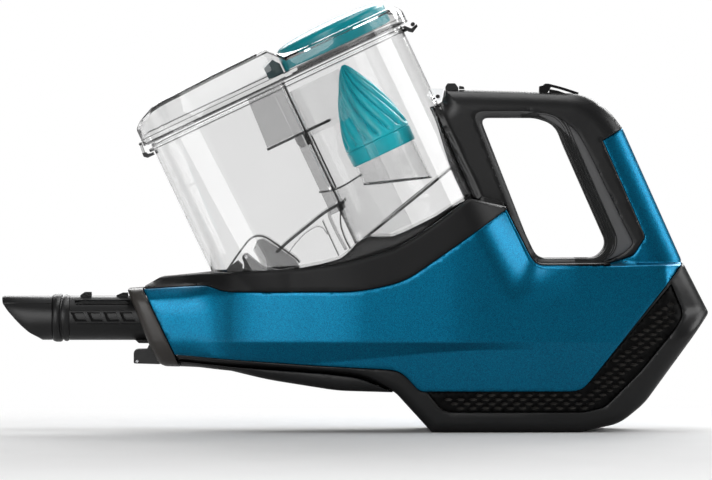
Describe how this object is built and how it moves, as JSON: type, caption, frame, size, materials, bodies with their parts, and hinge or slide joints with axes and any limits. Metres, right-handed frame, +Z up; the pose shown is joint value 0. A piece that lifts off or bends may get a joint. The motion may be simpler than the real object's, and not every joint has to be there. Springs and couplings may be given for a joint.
{
  "type": "handheld vacuum",
  "caption": "Cordless handheld vacuum with a tilted clear dust bin, cyclone cone, loop handle, side grilles and a pull-off crevice tool.",
  "frame": {"origin": "middle of the flat base face that the vacuum stands on", "axes": "+X towards the rear of the body, +Z up, +Y to the far side; the nozzle points along -X"},
  "size_m": [0.4928, 0.112, 0.2997],
  "materials": {
    "blue_paint": "metallic blue, satin gloss",
    "black_plastic": "black, fine grain",
    "dark_plastic": "black, matt",
    "grey_plastic": "warm dark grey",
    "soft_grip": "soft touch, fine texture",
    "seal_rubber": "matt",
    "clear_seal": "translucent silicone",
    "clear_plastic": "clear, polished",
    "turquoise_plastic": "tinted, polished",
    "steel": "turned",
    "motor_metal": "drawn",
    "cell_wrap": "shrink wrap",
    "circuit_board": "lacquered",
    "filter_fleece": "pleated fleece"
  },
  "bodies": {
    "body": {"body_shell_left": "blue_paint", "body_shell_right": "blue_paint", "cradle_deck": "black_plastic", "lower_frame": "black_plastic", "handle_left": "black_plastic", "handle_right": "black_plastic", "release_step": "black_plastic", "connector_block": "black_plastic", "inlet_pipe": "black_plastic", "front_bulkhead": "black_plastic", "rear_bulkhead": "black_plastic", "battery_tray": "black_plastic", "belly_cover": "dark_plastic", "grille_left": "dark_plastic", "grille_right": "dark_plastic", "inlet_collar": "grey_plastic", "filter_frame": "grey_plastic", "grip_insert": "soft_grip", "post_seal": "seal_rubber", "motor_mount": "seal_rubber", "motor_can": "motor_metal", "battery_pack": "cell_wrap", "control_board": "circuit_board", "filter": "filter_fleece"},
    "bin": {"bin_shell": "clear_plastic", "inlet_hood": "clear_plastic", "flap_pin": "steel", "inlet_ramp": "clear_plastic", "duct_shelf": "clear_plastic", "cyclone_wall": "clear_plastic", "vortex_tube": "clear_plastic", "cyclone_floor": "clear_plastic", "outlet_seal": "seal_rubber", "vortex_cone": "turquoise_plastic", "bin_clip": "clear_plastic", "clip_pin": "black_plastic", "hinge_bracket": "clear_plastic", "hinge_pin": "steel"},
    "lid": {"lid_cover": "clear_plastic", "cyclone_cap": "turquoise_plastic", "lid_gasket": "clear_seal", "latch_pin": "steel"},
    "latch": {"lid_latch": "black_plastic"},
    "flap": {"inlet_flap": "seal_rubber"},
    "bin_button": {"release_button": "black_plastic"},
    "slider": {"power_slider": "black_plastic"},
    "tool": {"tool_tube": "black_plastic", "tool_ring": "black_plastic", "tool_mouth": "black_plastic"},
    "tool_button": {"tool_release": "black_plastic"},
    "rotor": {"motor_shaft": "steel", "impeller": "dark_plastic"}
  },
  "joints": [
    {"name": "bin_lift", "type": "slide", "parent": "body", "child": "bin", "axis": [-0.4274, 0, 0.9041], "range_m": [0, 0.15]},
    {"name": "lid_hinge", "type": "hinge", "parent": "bin", "child": "lid", "pos_m": [-0.07303, 0, 0.2838], "axis": [0, 1, 0], "range_deg": [0, 100]},
    {"name": "latch_swing", "type": "hinge", "parent": "lid", "child": "latch", "pos_m": [-0.26338, 0, 0.20001], "axis": [0, 1, 0], "range_deg": [0, 25], "stiffness_Nm_per_rad": 0.05, "springref_deg": -11.46},
    {"name": "flap_swing", "type": "hinge", "parent": "bin", "child": "flap", "pos_m": [-0.18929, 0, 0.12166], "axis": [0, -1, 0], "range_deg": [0, 30]},
    {"name": "bin_button_press", "type": "slide", "parent": "body", "child": "bin_button", "axis": [0, 0, -1], "range_m": [0, 0.0027], "stiffness_N_per_m": 600, "springref_m": -0.0015},
    {"name": "power_slide", "type": "slide", "parent": "body", "child": "slider", "axis": [-1, 0, 0], "range_m": [0, 0.01]},
    {"name": "tool_pull", "type": "slide", "parent": "body", "child": "tool", "axis": [-1, 0, 0], "range_m": [0, 0.12]},
    {"name": "tool_button_press", "type": "slide", "parent": "body", "child": "tool_button", "axis": [0, 0, -1], "range_m": [0, 0.0015], "stiffness_N_per_m": 600, "springref_m": -0.001},
    {"name": "rotor_spin", "type": "hinge", "parent": "body", "child": "rotor", "pos_m": [-0.01, 0, 0.062], "axis": [1, 0, 0], "continuous": true}
  ]
}
